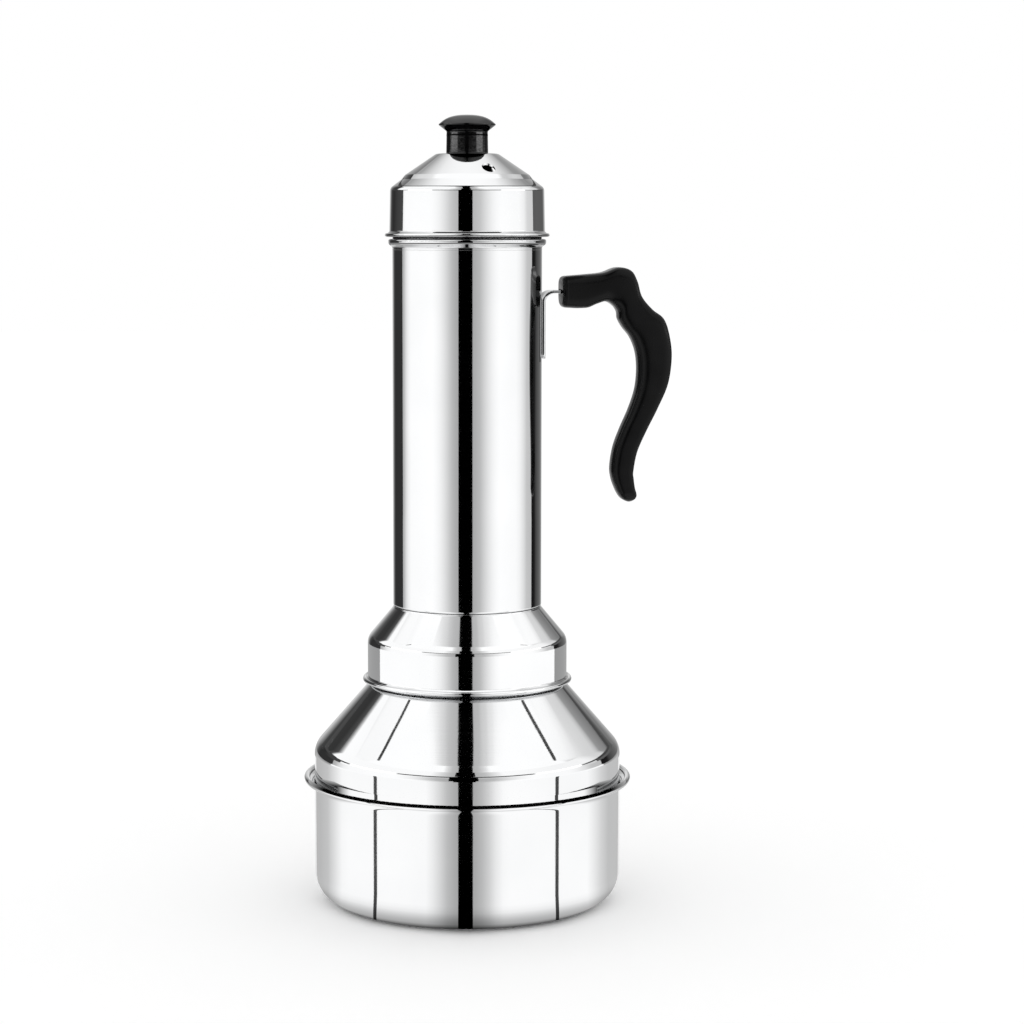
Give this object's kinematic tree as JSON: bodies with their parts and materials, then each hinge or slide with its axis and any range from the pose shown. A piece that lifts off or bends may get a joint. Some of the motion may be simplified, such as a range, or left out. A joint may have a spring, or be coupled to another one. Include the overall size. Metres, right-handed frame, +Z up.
{
  "type": "puttu maker",
  "caption": "Stovetop steamer: round water pot, steam cone, tall steaming tube with flared collar, strainer disc and side handle, and a vented lid with a knob.",
  "frame": {"origin": "middle of the pot's flat underside, on the axis of the tube", "axes": "+Z up along the axis of the tube, +X towards the handle"},
  "size_m": [0.1867, 0.1658, 0.3982],
  "materials": {
    "polished_steel": "mirror-polished stainless steel",
    "satin_steel": "satin stainless steel",
    "black_bakelite": "glossy black moulded phenolic",
    "zinc_steel": "zinc-plated steel",
    "brass": "turned brass"
  },
  "bodies": {
    "pot": {"base_pot": "polished_steel"},
    "cone": {"steam_cone": "polished_steel", "cone_neck": "polished_steel"},
    "tube": {"puttu_tube": "polished_steel", "tube_collar": "polished_steel", "handle_bracket": "satin_steel", "handle_grip": "black_bakelite", "handle_insert": "brass", "handle_screw": "zinc_steel"},
    "lid": {"lid_cap": "polished_steel", "lid_knob": "black_bakelite", "knob_insert": "brass", "knob_washer": "zinc_steel", "knob_screw": "zinc_steel"},
    "disc": {"perforated_disc": "satin_steel"}
  },
  "joints": [
    {"name": "cone_lift", "type": "slide", "parent": "pot", "child": "cone", "axis": [0, 0, 1], "range_m": [0, 0.08]},
    {"name": "tube_lift", "type": "slide", "parent": "cone", "child": "tube", "axis": [0, 0, 1], "range_m": [0, 0.08]},
    {"name": "lid_lift", "type": "slide", "parent": "tube", "child": "lid", "axis": [0, 0, 1], "range_m": [0, 0.08]},
    {"name": "disc_slide", "type": "slide", "parent": "tube", "child": "disc", "axis": [0, 0, 1], "range_m": [0, 0.19]}
  ]
}
